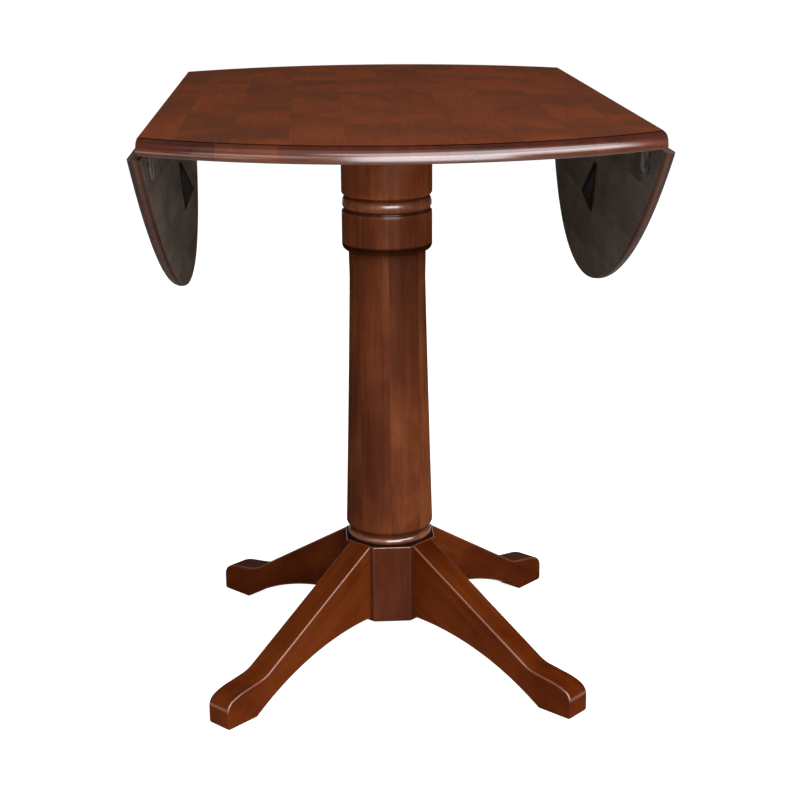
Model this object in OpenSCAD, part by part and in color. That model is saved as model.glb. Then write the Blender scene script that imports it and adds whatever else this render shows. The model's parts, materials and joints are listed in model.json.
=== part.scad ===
/* [Top] */
// Height of the table top above the floor
table_h = 922; // [880:1:960]
// Radius of the round top with both leaves up
top_r = 590; // [575:1:605]
// Width of the fixed centre board, from joint line to joint line
center_w = 670; // [660:1:690]
// Thickness of the boards
board_t = 20; // [19:0.5:24]
// Width of the sloping curve on the upper side of the round edge
edge_in = 24; // [22:1:27]
// Height of that curve, with the small shoulder it starts from
edge_drop = 15; // [14:0.5:15.5]
// Angle by which a hanging leaf leans inwards from the vertical
leaf_lean = 5; // [3:0.5:6]

/* [Hinges] */
// Distance of the hinges from the middle of the joint line
hinge_y = 385; // [360:1:400]
// Length of a hinge along the joint line
hinge_len = 50; // [45:1:60]
// Distance of the pin's axis inwards from the joint line
pin_inset = 4.5; // [4.3:0.1:5.5]
// Diameter of the hinge pin
pin_d = 3; // [2.6:0.1:3.2]

/* [Leaf supports] */
// Height of the wedge on a leaf
wedge_h = 16.5; // [15:0.5:16.5]
// Width of the wedge
wedge_w = 22; // [18:1:28]
// Length of a support slide
slide_len = 340; // [320:1:350]
// Width of a support slide
slide_w = 56; // [50:1:60]
// Thickness of a support slide
slide_t = 16; // [14:0.5:17]
// Length of the guide rails
rail_len = 640; // [630:1:644]
// Height of the guide rails
rail_h = 40; // [38:1:44]

/* [Pedestal] */
// Side of the square head plate
plate_side = 230; // [224:1:250]
// Thickness of the head plate
plate_t = 20; // [19:0.5:24]
// Diameter of the upper column
upper_d = 143; // [138:1:146]
// Length of the upper column between the head plate and the seam
upper_len = 93; // [86:1:100]
// Diameter of the main column's collar
collar_d = 142.5; // [138:0.5:146]
// Height of the collar below the seam, without its rounded lower edge
collar_h = 55; // [48:1:62]
// Diameter of the main column's neck
neck_d = 121; // [117:0.5:124]
// Diameter of the main column at its foot
shaft_d = 142; // [136:0.5:145]
// Diameter of the ring below the column
ring_d = 138; // [134:0.5:141]

/* [Base] */
// Width of the eight-sided hub across its flats
hub_w = 145; // [143:0.5:150]
// Height of the hub's top above the floor
hub_top = 205; // [201:1:209]
// Height of the hub's underside above the floor
hub_low = 74; // [68:1:77]
// Distance of a foot's end from the table's axis
leg_reach = 392; // [380:1:404]
// Thickness of a leg
leg_w = 44; // [38:1:48]
// Length of the flat pad under a foot
pad_len = 61; // [50:1:70]
// Height of a leg's underside at the hub
arch_z = 78; // [77:1:84]
// Slope of a leg's top, as a fall per unit of reach
leg_slope = 0.605; // [0.595:0.005:0.62]
// Radius of the rounding along a leg's arrises
leg_ease = 3; // [1:0.5:4]

/* [Hidden] */

$fn = 64;
// Number of sides for the widest circles
wide_fn = 180;
// Number of sides for screws and pins
small_fn = 24;
// Radial gap of a fitted pair
fit = 0.05;
// Extra length of a cutting tool past a face
cut = 1;

// Colours
cherry = [0.42, 0.21, 0.11];
cherry_dark = [0.30, 0.13, 0.08];
plain_wood = [0.72, 0.55, 0.36];
bronze_tone = [0.30, 0.24, 0.18];
steel_tone = [0.68, 0.69, 0.71];

// Top
under_z = table_h - board_t;
low_arris_r = 3;
// The curve starts at a shoulder below the face. It is two arcs that meet without a corner: a wide, almost
// level one from the shoulder, and a tighter one down to the rim
edge_step = 0.8;
edge_top = board_t - edge_step;
edge_h = edge_drop - edge_step;
edge_tip_r = 0.86 * edge_h;
edge_sum = edge_in * edge_in + edge_h * edge_h - 2 * edge_in * edge_tip_r;
edge_wide_r = edge_sum / (2 * (edge_h - edge_tip_r));
edge_meet = atan2(edge_wide_r - edge_h, edge_in - edge_tip_r);
joint_gap = 0.8;
leaf_drop = 90 + leaf_lean;
pin_x = center_w / 2 - pin_inset;
// First point of a leaf, from the pin's axis
leaf_start = pin_inset + joint_gap;

// Hinges
knuckle_r = 3.5;
knuckles = 5;
knuckle_len = hinge_len / knuckles;
knuckle_gap = 0.4;
strap_t = 2;
strap_start = 4.2;
strap_root = 2;
top_strap_end = 34;
leaf_strap_end = 44;
// Distances of the strap's screws from its far edge
strap_hole_outer = 8;
strap_hole_inner = 20;
notch_clear = 0.7;
hinge_shank_r = 1.75;
hinge_head_r = 3.4;
hinge_screw_len = 14;

// Wedges, slides and rails: distances along a leaf are measured from the pin's axis
wedge_screw_seat = 4;
wedge_screw_len = 14;
slide_reach = 126;
wedge_past = 1;
wedge_top = slide_reach + wedge_past;
wedge_run = 43;
wedge_back = 31;
wedge_start = wedge_top - wedge_run;
wedge_end = wedge_top + wedge_back;
wedge_lip = 2;
wedge_screw_at = [wedge_top - 23, wedge_top + 16];
slide_drop = 17.5;
slide_play = 0.3;
slide_bevel = 2;
groove_d = 10;
rail_web = 12;
outer_rail_w = 26;
lane_y = (slide_w + rail_web) / 2;
slide_rest_gap = 9;
slide_start_x = -rail_len / 2 + slide_rest_gap;
slide_end_x = slide_start_x + slide_len;
slide_travel = pin_x + slide_reach - slide_end_x;
rail_z = under_z - rail_h;
groove_z = under_z - slide_drop - slide_t - slide_play;
groove_h = slide_t + 2 * slide_play;
groove_w = slide_w + 2 * slide_play;
outer_rail_y = lane_y + groove_w / 2 - groove_d;
inner_rail_y = lane_y - groove_w / 2 + groove_d;
outer_screw_y = outer_rail_y + groove_d + (outer_rail_w - groove_d) / 2;
rail_screw_inset = 30;
rail_screw_inner = 170;
rail_screw_outer = rail_len / 2 - rail_screw_inset;
rail_screw_x = [-rail_screw_outer, -rail_screw_inner, rail_screw_inner, rail_screw_outer];
rail_screw_bite = 12;
rail_screw_len = rail_h + rail_screw_bite;
stop_pin_r = 4;
stop_pin_h = 14;
stop_pin_inset = 20;
stop_pin_seat = 8;
stop_size = [20, 28, 12];
stop_clear = 1;
rest_pin_x = slide_start_x + stop_pin_inset;

// Head plate and tie rod
plate_z = rail_z - plate_t;
plate_corner = 20;
plate_screw_inset = 19;
plate_screw_x = plate_side / 2 - plate_screw_inset;
plate_screw_bite = 24;
plate_screw_len = plate_t + plate_screw_bite;
wood_shank_r = 2.5;
wood_head_r = 4.5;
rod_r = 4;
rod_hole_r = 4.5;
washer_r = 10;
washer_t = 2;
nut_flats = 13;
nut_t = 6.5;
rod_well_r = 13;
rod_well_floor = 8;
rod_spare = 2;

// Columns
seam_z = plate_z - upper_len;
seam_h = 2;
seam_depth = 3.25;
seam_d = collar_d - 2 * seam_depth;
bead_r = 8.5;
bead_depth = 1;
bead_d = upper_d - 2 * bead_depth;
bead_z = seam_z + seam_h + bead_r;
drum_gap = 3;
drum_z = bead_z + bead_r + drum_gap;
drum_round = 6;
tenon_r = 20;
tenon_len = 30;
collar_low = seam_z - collar_h;
collar_r = 10.5;
neck_len = 54;
taper_top = collar_low - neck_len;
ring_r = 6.5;
ring_z = hub_top + ring_r;
foot_round = 6;
foot_h = 12.5;
taper_low = ring_z + ring_r + foot_h;
taper_len = taper_top - taper_low;
taper_power = 1.15;
taper_steps = 12;

// Hub and legs
flats = 8;
hub_hollow_w = 80;
hub_web = 22;
hub_ceiling = hub_top - hub_web;
// Places of a leg's two bolts, as shares of the hub's height, and their reach as a share of the leg's
bolt_share = [0.24, 0.63];
bolt_z = [for (share = bolt_share) hub_low + (hub_top - hub_low) * share];
bolt_depth = leg_reach * 0.097;
bolt_inner = 28;
leg_washer_t = 1.6;
leg_washer_r = 8;
leg_angles = [225, 315, 135, 45];
// Toe of a leg: heights, radii and the directions of its surfaces' normals
toe_face_top = 28;
toe_corner_r = 20;
toe_low_r = 5;
toe_back_r = 90;
instep_r = 60;
toe_turn = 66;
toe_level = 81.5;
leg_root = hub_w / 2;
leg_top_z = hub_top - 1;
heel_s = leg_reach - pad_len;
// Radius of the arch that is level at the hub and meets the floor at the heel
arch_r = ((heel_s - leg_root) * (heel_s - leg_root) + arch_z * arch_z) / (2 * arch_z);
leg_normal = 90 - atan(leg_slope);

// Points of an arc about a centre, from one angle to another
function arc(center, r, from, to, steps) =
    [for (i = [0 : steps]) center + r * dir(from + (to - from) * i / steps)];
function dir(a) = [cos(a), sin(a)];
// Circumradius of a regular polygon from its width across flats
function flats_r(w, sides) = w / 2 / cos(180 / sides);

// A countersunk wood screw: its head's face is at the origin and it points along +Z
module screw(shank_r, head_r, length) {
    slot_w = head_r / 3;
    difference() {
        union() {
            cylinder(h = head_r - shank_r, r1 = head_r, r2 = shank_r, $fn = small_fn);
            cylinder(h = length, r = shank_r, $fn = small_fn);
        }
        translate([-head_r - cut, -slot_w / 2, -cut])
            cube([2 * (head_r + cut), slot_w, cut + (head_r - shank_r) / 2]);
    }
}

// The hole that a countersunk screw fills
module screw_hole(shank_r, head_r, length) {
    translate([0, 0, -cut])
        cylinder(h = cut, r = head_r + fit, $fn = small_fn);
    cylinder(h = head_r - shank_r, r1 = head_r + fit, r2 = shank_r + fit, $fn = small_fn);
    cylinder(h = length + fit, r = shank_r + fit, $fn = small_fn);
}

// A six-sided nut standing on the origin
module nut() {
    difference() {
        cylinder(h = nut_t, r = flats_r(nut_flats, 6), $fn = 6);
        translate([0, 0, -cut])
            cylinder(h = nut_t + 2 * cut, r = rod_r + fit, $fn = small_fn);
    }
}

// A flat washer standing on the origin
module washer(r, t) {
    difference() {
        cylinder(h = t, r = r);
        translate([0, 0, -cut])
            cylinder(h = t + 2 * cut, r = rod_r + fit, $fn = small_fn);
    }
}

// The whole round top as one disc, with the curve of its upper side and an eased lower arris
module round_top() {
    rotate_extrude($fn = wide_fn)
        polygon(concat(
            [[0, 0]],
            arc([top_r - low_arris_r, low_arris_r], low_arris_r, -90, 0, 3),
            arc([top_r - edge_tip_r, edge_top - edge_h], edge_tip_r, 0, edge_meet, 6),
            arc([top_r - edge_in, edge_top - edge_wide_r], edge_wide_r, edge_meet, 90, 3),
            [[top_r - edge_in, board_t], [0, board_t]]
        ));
}

// Draws in the left or right half: side is -1 or 1
module on_side(side) {
    mirror([side < 0 ? 1 : 0, 0, 0]) children();
}

// Draws in a hanging leaf's own frame: origin on the pin's axis, +X away from the hinge, +Z to its upper face
module on_leaf(side) {
    on_side(side)
        translate([pin_x, 0, under_z])
            rotate([0, leaf_drop, 0])
                children();
}

// Places along X and Y of the screws in a hinge strap that ends at the given distance
function strap_screws(end) = [
    [end - strap_hole_outer, -hinge_len / 3],
    [end - strap_hole_outer, hinge_len / 3],
    [end - strap_hole_inner, 0]
];

// Draws at each screw of both hinge straps on one side of a joint line
module at_strap_screws(end) {
    for (y = [-hinge_y, hinge_y])
        for (p = strap_screws(end))
            translate([p[0], y + p[1], -strap_t])
                children();
}

// One hinge strap with its knuckles; first is the index of its first knuckle
module hinge_strap(end, first) {
    difference() {
        union() {
            translate([strap_start, -hinge_len / 2, -strap_t])
                cube([end - strap_start, hinge_len, strap_t]);
            for (i = [first : 2 : knuckles - 1]) {
                y = -hinge_len / 2 + i * knuckle_len + knuckle_gap / 2;
                translate([strap_root, y, -strap_t])
                    cube([strap_start, knuckle_len - knuckle_gap, strap_t]);
                translate([0, y, 0])
                    rotate([-90, 0, 0])
                        cylinder(h = knuckle_len - knuckle_gap, r = knuckle_r);
            }
        }
        translate([0, -hinge_len / 2 - cut, 0])
            rotate([-90, 0, 0])
                cylinder(h = hinge_len + 2 * cut, r = pin_d / 2 + fit, $fn = small_fn);
        for (p = strap_screws(end))
            translate([p[0], p[1], -strap_t])
                screw_hole(hinge_shank_r, hinge_head_r, hinge_screw_len);
    }
}

// Draws in the frame of a strap under the fixed board: +X runs inwards from the pin's axis
module under_top(side) {
    on_side(side)
        translate([pin_x, 0, under_z])
            mirror([1, 0, 0])
                children();
}

module center_top() color(cherry) difference() {
    intersection() {
        translate([0, 0, under_z])
            round_top();
        translate([-center_w / 2, -top_r - cut, under_z - cut])
            cube([center_w, 2 * (top_r + cut), board_t + 2 * cut]);
    }
    for (side = [-1, 1]) {
        for (y = [-hinge_y, hinge_y])
            on_side(side)
                translate([pin_x - knuckle_r - notch_clear, y - hinge_len / 2 - notch_clear, under_z - cut])
                    cube([4 * knuckle_r, hinge_len + 2 * notch_clear, cut + knuckle_r + notch_clear]);
        under_top(side)
            at_strap_screws(top_strap_end)
                screw_hole(hinge_shank_r, hinge_head_r, hinge_screw_len);
    }
    at_rail_screws()
        screw_hole(wood_shank_r, wood_head_r, rail_screw_len);
    at_stop_blocks()
        screw_hole(hinge_shank_r, hinge_head_r, stop_size[2] + wedge_screw_len);
}

module leaf(side) color(cherry) on_leaf(side) difference() {
    intersection() {
        translate([-pin_x, 0, 0])
            rotate([0, 0, 180])
                round_top();
        translate([leaf_start, -top_r, -cut])
            cube([top_r, 2 * top_r, board_t + 2 * cut]);
    }
    at_strap_screws(leaf_strap_end)
        screw_hole(hinge_shank_r, hinge_head_r, hinge_screw_len);
    for (s = wedge_screw_at)
        translate([s, -side * lane_y, -wedge_screw_seat])
            cylinder(h = wedge_screw_len + fit, r = hinge_shank_r + fit, $fn = small_fn);
}

module left_leaf() leaf(-1);
module right_leaf() leaf(1);

module hinge_top_plates() color(bronze_tone)
    for (side = [-1, 1], y = [-hinge_y, hinge_y])
        under_top(side)
            translate([0, y, 0])
                hinge_strap(top_strap_end, 0);

module hinge_top_screws() color(bronze_tone)
    for (side = [-1, 1])
        under_top(side)
            at_strap_screws(top_strap_end)
                screw(hinge_shank_r, hinge_head_r, hinge_screw_len);

module hinge_pins() color(steel_tone)
    for (side = [-1, 1], y = [-hinge_y, hinge_y])
        translate([side * pin_x, y - hinge_len / 2, under_z])
            rotate([-90, 0, 0])
                cylinder(h = hinge_len, r = pin_d / 2, $fn = small_fn);

module leaf_straps(side) color(bronze_tone)
    on_leaf(side)
        for (y = [-hinge_y, hinge_y])
            translate([0, y, 0])
                hinge_strap(leaf_strap_end, 1);

module left_hinge_plates() leaf_straps(-1);
module right_hinge_plates() leaf_straps(1);

module leaf_strap_screws(side) color(bronze_tone)
    on_leaf(side)
        at_strap_screws(leaf_strap_end)
            screw(hinge_shank_r, hinge_head_r, hinge_screw_len);

module left_hinge_screws() leaf_strap_screws(-1);
module right_hinge_screws() leaf_strap_screws(1);

// The block that the slide rides under to lift a leaf level
module wedge(side) color(cherry_dark) on_leaf(side) translate([0, -side * lane_y, 0]) difference() {
    translate([0, wedge_w / 2, 0])
        rotate([90, 0, 0])
            linear_extrude(height = wedge_w)
                polygon([
                    [wedge_start, 0],
                    [wedge_start, -wedge_lip],
                    [wedge_top, -wedge_h],
                    [wedge_end, 0]
                ]);
    for (s = wedge_screw_at) {
        translate([s, 0, -wedge_screw_seat])
            cylinder(h = wedge_h, r = hinge_shank_r + fit, $fn = small_fn);
        translate([s, 0, -wedge_screw_seat - wedge_h])
            cylinder(h = wedge_h, r = hinge_head_r + fit, $fn = small_fn);
    }
}

module left_wedge() wedge(-1);
module right_wedge() wedge(1);

// Pan-head screws that sit in the wedge's counterbores
module wedge_screws(side) color(steel_tone)
    on_leaf(side)
        for (s = wedge_screw_at)
            translate([s, -side * lane_y, -wedge_screw_seat]) {
                cylinder(h = wedge_screw_len, r = hinge_shank_r, $fn = small_fn);
                translate([0, 0, -hinge_head_r / 2])
                    cylinder(h = hinge_head_r / 2, r = hinge_head_r, $fn = small_fn);
            }

module left_wedge_screws() wedge_screws(-1);
module right_wedge_screws() wedge_screws(1);

// Draws at the screws that hold the rails to the board
module at_rail_screws() {
    for (x = rail_screw_x, y = [-outer_screw_y, 0, outer_screw_y])
        translate([x, y, rail_z])
            children();
}

// Draws at the screws that hold the head plate to the rails
module at_plate_screws() {
    for (x = [-plate_screw_x, plate_screw_x], y = [-outer_screw_y, 0, outer_screw_y])
        translate([x, y, plate_z])
            children();
}

// The grooves that both slides run in
module slide_grooves() {
    for (y = [-lane_y, lane_y])
        translate([-rail_len / 2 - cut, y - groove_w / 2, groove_z])
            cube([rail_len + 2 * cut, groove_w, groove_h]);
}

// A rail between two places along Y, grooved and drilled
module rail(from, to) color(plain_wood) difference() {
    translate([-rail_len / 2, from, rail_z])
        cube([rail_len, to - from, rail_h]);
    slide_grooves();
    at_rail_screws()
        screw_hole(wood_shank_r, wood_head_r, rail_screw_len);
    at_plate_screws()
        screw_hole(wood_shank_r, wood_head_r, plate_screw_len);
}

module front_rail() rail(-outer_rail_y - outer_rail_w, -outer_rail_y);
module center_rail() rail(-inner_rail_y, inner_rail_y);
module back_rail() rail(outer_rail_y, outer_rail_y + outer_rail_w);

module rail_screws() color(steel_tone)
    at_rail_screws()
        screw(wood_shank_r, wood_head_r, rail_screw_len);

// Support slide: the right leaf's runs in the front lane, the left leaf's in the back lane
module slide(side) color(plain_wood) on_side(side)
    translate([slide_end_x - slide_len, -side * lane_y, under_z - slide_drop - slide_t])
        difference() {
            translate([0, slide_w / 2, 0])
                rotate([90, 0, 0])
                    linear_extrude(height = slide_w)
                        polygon([
                            [0, 0],
                            [slide_len - slide_bevel, 0],
                            [slide_len, slide_bevel],
                            [slide_len, slide_t - slide_bevel],
                            [slide_len - slide_bevel, slide_t],
                            [0, slide_t]
                        ]);
            translate([stop_pin_inset, 0, slide_t - stop_pin_seat])
                cylinder(h = stop_pin_h, r = stop_pin_r + fit, $fn = small_fn);
        }

module left_slide() slide(-1);
module right_slide() slide(1);

module slide_pin(side) color(plain_wood) on_side(side)
    translate([rest_pin_x, -side * lane_y, under_z - slide_drop - stop_pin_seat])
        cylinder(h = stop_pin_seat + stop_pin_h, r = stop_pin_r, $fn = small_fn);

module left_slide_pin() slide_pin(-1);
module right_slide_pin() slide_pin(1);

// Middles along X of the two blocks that end a slide's travel
stop_x = [
    rest_pin_x - stop_pin_r - stop_clear - stop_size[0] / 2,
    rest_pin_x + slide_travel + stop_pin_r + stop_clear + stop_size[0] / 2
];

// Draws at the middle of each stop block's lower face
module at_stop_blocks() {
    for (side = [-1, 1], x = stop_x)
        translate([side * x, -side * lane_y, under_z - stop_size[2]])
            children();
}

module stop_blocks() color(plain_wood)
    at_stop_blocks()
        difference() {
            translate([-stop_size[0] / 2, -stop_size[1] / 2, 0])
                cube(stop_size);
            screw_hole(hinge_shank_r, hinge_head_r, stop_size[2] + wedge_screw_len);
        }

module stop_block_screws() color(steel_tone)
    at_stop_blocks()
        screw(hinge_shank_r, hinge_head_r, stop_size[2] + wedge_screw_len);

module mounting_plate() color(cherry_dark) difference() {
    half = plate_side / 2;
    inner = half - plate_corner;
    translate([0, 0, plate_z])
        linear_extrude(height = plate_t)
            polygon([
                [-inner, -half], [inner, -half], [half, -inner], [half, inner],
                [inner, half], [-inner, half], [-half, inner], [-half, -inner]
            ]);
    translate([0, 0, plate_z - cut])
        cylinder(h = plate_t + 2 * cut, r = rod_hole_r, $fn = small_fn);
    translate([0, 0, plate_z + rod_well_floor])
        cylinder(h = plate_t, r = rod_well_r);
    at_plate_screws()
        screw_hole(wood_shank_r, wood_head_r, plate_screw_len);
}

module plate_screws() color(steel_tone)
    at_plate_screws()
        screw(wood_shank_r, wood_head_r, plate_screw_len);

// Turned upper column: a drum with a rounded lower edge, a groove, a bead above the seam and a tenon below it
module upper_column() color(cherry) difference() {
    union() {
        rotate_extrude($fn = wide_fn) {
            polygon(concat(
                [[0, drum_z]],
                arc([upper_d / 2 - drum_round, drum_z + drum_round], drum_round, -90, 0, 5),
                [[upper_d / 2, plate_z], [0, plate_z]]
            ));
            translate([0, seam_z])
                square([seam_d / 2, drum_z - seam_z]);
            translate([bead_d / 2 - bead_r, bead_z])
                circle(r = bead_r);
        }
        translate([0, 0, seam_z - tenon_len])
            cylinder(h = tenon_len + cut, r = tenon_r);
    }
    translate([0, 0, seam_z - tenon_len - cut])
        cylinder(h = plate_z - seam_z + tenon_len + 2 * cut, r = rod_hole_r, $fn = small_fn);
}

// Radius of the tapered shaft at a height
function shaft_r(z) =
    neck_d / 2 + (shaft_d - neck_d) / 2 * pow((taper_top - z) / taper_len, taper_power);

// Half outline of the main column, from the ring up to the collar
function column_outline() = concat(
    [[0, hub_top]],
    arc([ring_d / 2 - ring_r, ring_z], ring_r, -90, 90, 16),
    arc([shaft_d / 2 - foot_round, taper_low], foot_round, -90, 0, 5),
    [for (i = [1 : taper_steps]) let (z = taper_low + taper_len * i / taper_steps) [shaft_r(z), z]],
    arc([collar_d / 2 - collar_r, collar_low], collar_r, -90, 0, 8),
    [[collar_d / 2, seam_z - 2 * seam_h], [seam_d / 2, seam_z - seam_h], [seam_d / 2, seam_z], [0, seam_z]]
);

module main_column() color(cherry) difference() {
    rotate_extrude($fn = wide_fn)
        polygon(column_outline());
    translate([0, 0, seam_z - tenon_len - cut])
        cylinder(h = tenon_len + 2 * cut, r = tenon_r + fit);
    translate([0, 0, hub_top - cut])
        cylinder(h = seam_z - hub_top, r = rod_hole_r, $fn = small_fn);
}

// Draws outwards along +Z from the table's axis, at each leg bolt
module at_leg_bolts() {
    for (a = leg_angles, z = bolt_z)
        rotate([0, 0, a])
            translate([0, 0, z])
                rotate([0, 90, 0])
                    children();
}

module hub() color(cherry) difference() {
    translate([0, 0, hub_low])
        rotate([0, 0, 180 / flats])
            cylinder(h = hub_top - hub_low, r = flats_r(hub_w, flats), $fn = flats);
    translate([0, 0, hub_low - cut])
        rotate([0, 0, 180 / flats])
            cylinder(h = hub_ceiling - hub_low + cut, r = flats_r(hub_hollow_w, flats), $fn = flats);
    translate([0, 0, hub_ceiling - cut])
        cylinder(h = hub_top - hub_ceiling + 2 * cut, r = rod_hole_r, $fn = small_fn);
    at_leg_bolts()
        cylinder(h = hub_w, r = rod_hole_r, $fn = small_fn);
}

// Side outline of a leg, reach along the first axis and height along the second,
// drawn in by a small amount to round the arrises
function leg_outline(inset) =
    let (
        corner = [leg_reach - toe_corner_r, toe_face_top],
        back = corner + (toe_corner_r - toe_back_r) * dir(toe_turn),
        hump = back + toe_back_r * dir(toe_level),
        n = dir(leg_normal),
        top_d = n * [leg_root, leg_top_z],
        run = (top_d + instep_r - n * (hump + instep_r * dir(toe_level))) / (n * dir(toe_level + 90)),
        instep = hump + run * dir(toe_level + 90) + instep_r * dir(toe_level),
        arch = [leg_root, arch_z - arch_r],
        heel = asin((inset - arch[1]) / (arch_r + inset))
    )
    concat(
        arc(arch, arch_r + inset, 90, heel, 22),
        arc([leg_reach - toe_low_r, toe_low_r], toe_low_r - inset, -90, 0, 4),
        arc(corner, toe_corner_r - inset, 0, toe_turn, 8),
        arc(back, toe_back_r - inset, toe_turn, toe_level, 4),
        arc(instep, instep_r + inset, toe_level + 180, leg_normal + 180, 6),
        [[leg_root, (top_d - inset - n[0] * leg_root) / n[1]]]
    );

// A leg along +X: its outline at several places across its thickness, drawn in near both sides
module leg_solid() {
    half = leg_w / 2;
    turns = [0 : 22.5 : 90];
    near = [for (a = turns) [-half + leg_ease * (1 - cos(a)), leg_ease * (1 - sin(a))]];
    far = [for (i = [len(near) - 1 : -1 : 0]) [-near[i][0], near[i][1]]];
    places = concat(near, far);
    count = len(leg_outline(0));
    points = [for (p = places) each [for (q = leg_outline(p[1])) [q[0], p[0], q[1]]]];
    skin = [
        for (k = [0 : len(places) - 2], i = [0 : count - 1])
            let (a = k * count + i, b = k * count + (i + 1) % count)
            each [[a, a + count, b + count], [a, b + count, b]]
    ];
    caps = [
        [for (i = [0 : count - 1]) i],
        [for (i = [count - 1 : -1 : 0]) (len(places) - 1) * count + i]
    ];
    polyhedron(points = points, faces = concat(skin, caps), convexity = 6);
}

// A leg turned to one of the hub's diagonal faces, drilled for its two bolts
module leg(angle) color(cherry_dark) rotate([0, 0, angle]) difference() {
    leg_solid();
    for (z = bolt_z)
        translate([leg_root - cut, 0, z])
            rotate([0, 90, 0])
                cylinder(h = bolt_depth + 2 * cut, r = rod_r + fit, $fn = small_fn);
}

module leg_front_left() leg(leg_angles[0]);
module leg_front_right() leg(leg_angles[1]);
module leg_back_left() leg(leg_angles[2]);
module leg_back_right() leg(leg_angles[3]);

module leg_bolts() color(steel_tone)
    at_leg_bolts()
        translate([0, 0, bolt_inner])
            cylinder(h = leg_root + bolt_depth - bolt_inner, r = rod_r, $fn = small_fn);

module leg_washers() color(steel_tone)
    at_leg_bolts()
        translate([0, 0, hub_hollow_w / 2 - leg_washer_t])
            washer(leg_washer_r, leg_washer_t);

module leg_nuts() color(steel_tone)
    at_leg_bolts()
        translate([0, 0, hub_hollow_w / 2 - leg_washer_t - nut_t])
            nut();

// Heights of the tie rod's upper and lower washers
rod_washer_z = [plate_z + rod_well_floor, hub_ceiling - washer_t];
rod_len = rod_washer_z[0] - rod_washer_z[1] + washer_t + 2 * (nut_t + rod_spare);

module tie_rod() color(steel_tone)
    translate([0, 0, rod_washer_z[1] - nut_t - rod_spare])
        cylinder(h = rod_len, r = rod_r, $fn = small_fn);

module tie_rod_washers() color(steel_tone)
    for (z = rod_washer_z)
        translate([0, 0, z])
            washer(washer_r, washer_t);

module tie_rod_nuts() color(steel_tone) {
    translate([0, 0, rod_washer_z[0] + washer_t])
        nut();
    translate([0, 0, rod_washer_z[1] - nut_t])
        nut();
}

center_top();
left_leaf();
right_leaf();
hinge_top_plates();
hinge_top_screws();
hinge_pins();
left_hinge_plates();
right_hinge_plates();
left_hinge_screws();
right_hinge_screws();
left_wedge();
right_wedge();
left_wedge_screws();
right_wedge_screws();
front_rail();
center_rail();
back_rail();
rail_screws();
left_slide();
right_slide();
left_slide_pin();
right_slide_pin();
stop_blocks();
stop_block_screws();
mounting_plate();
plate_screws();
upper_column();
main_column();
hub();
leg_front_left();
leg_front_right();
leg_back_left();
leg_back_right();
leg_bolts();
leg_washers();
leg_nuts();
tie_rod();
tie_rod_washers();
tie_rod_nuts();
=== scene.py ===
# %% [markdown]
# # A round drop-leaf pedestal table
# The construction, with every hinge, slide and bolt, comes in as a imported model. This lesson gives it its
# looks: eased boards, a turned column, shaped legs, and a reddish-brown stain under satin lacquer. The packed
# pieces could be painted as they are, but a sharp arris catches no light. So each piece that shows is made
# again with numpy, in metres, as a surface where the construction has it.

# %% Load the construction
import json
from math import radians

import bpy
import numpy as np
from mathutils import Matrix, Vector

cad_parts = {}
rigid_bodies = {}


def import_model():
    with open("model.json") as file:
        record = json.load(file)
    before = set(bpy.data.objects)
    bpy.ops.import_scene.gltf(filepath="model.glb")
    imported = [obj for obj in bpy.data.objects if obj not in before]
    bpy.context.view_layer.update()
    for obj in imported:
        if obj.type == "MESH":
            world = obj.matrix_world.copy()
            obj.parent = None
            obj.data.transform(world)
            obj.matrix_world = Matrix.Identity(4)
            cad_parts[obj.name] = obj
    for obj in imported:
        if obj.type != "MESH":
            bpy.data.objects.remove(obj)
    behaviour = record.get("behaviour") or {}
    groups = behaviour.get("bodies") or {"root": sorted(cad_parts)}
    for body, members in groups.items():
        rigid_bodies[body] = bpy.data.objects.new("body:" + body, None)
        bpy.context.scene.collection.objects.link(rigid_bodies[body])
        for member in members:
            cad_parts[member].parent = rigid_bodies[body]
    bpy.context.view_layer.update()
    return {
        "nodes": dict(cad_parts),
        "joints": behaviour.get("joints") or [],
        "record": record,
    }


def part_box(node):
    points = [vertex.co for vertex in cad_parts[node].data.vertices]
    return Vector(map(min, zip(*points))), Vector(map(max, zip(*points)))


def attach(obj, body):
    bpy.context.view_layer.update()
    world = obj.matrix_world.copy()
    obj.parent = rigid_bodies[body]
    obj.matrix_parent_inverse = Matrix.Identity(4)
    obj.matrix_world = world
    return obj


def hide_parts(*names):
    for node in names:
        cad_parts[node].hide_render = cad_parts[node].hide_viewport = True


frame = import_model()
MM = 0.001

# %% [markdown]
# ## Driving sizes
# A maker writes down a few sizes and works the others out. Typed in again, they would stay behind when the
# construction is drawn again. So they are read off its own boxes.

# %% Sizes taken from the construction
top_low, top_high = (np.array(c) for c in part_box("center_top"))
UNDER_Z = top_low[2]
BOARD_T = top_high[2] - UNDER_Z
TOP_R = top_high[1]
HALF_W = top_high[0]
HINGE = next(j for j in frame["joints"] if j["name"] == "right_leaf_hinge")
PIN_X = HINGE["pos_m"][0]
LEAF_DROP = radians(HINGE["range_deg"][1])
print("in metres: top radius", TOP_R, "half width", HALF_W, "pin", PIN_X)

# %% [markdown]
# ## Helpers for surfaces
# Most pieces are a loft: one outline, drawn several times, a little smaller or higher, with a skin between.
# Modifiers could bevel plain blocks instead, but rows of points make one array, and every curve on them has
# its own formula.

# %% Skin and mesh helpers
def skin(rows, cols):
    """Quads between neighbouring closed rows, as whole arrays: point (i, j) joins (i, j+1), (i+1, j+1) and
    (i+1, j), and the last column joins the first."""
    i, j = np.meshgrid(np.arange(rows - 1), np.arange(cols), indexing="ij")
    k = (j + 1) % cols
    quads = np.stack([i * cols + j, i * cols + k, (i + 1) * cols + k, (i + 1) * cols + j], -1)
    return quads.reshape(-1, 4)


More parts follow.
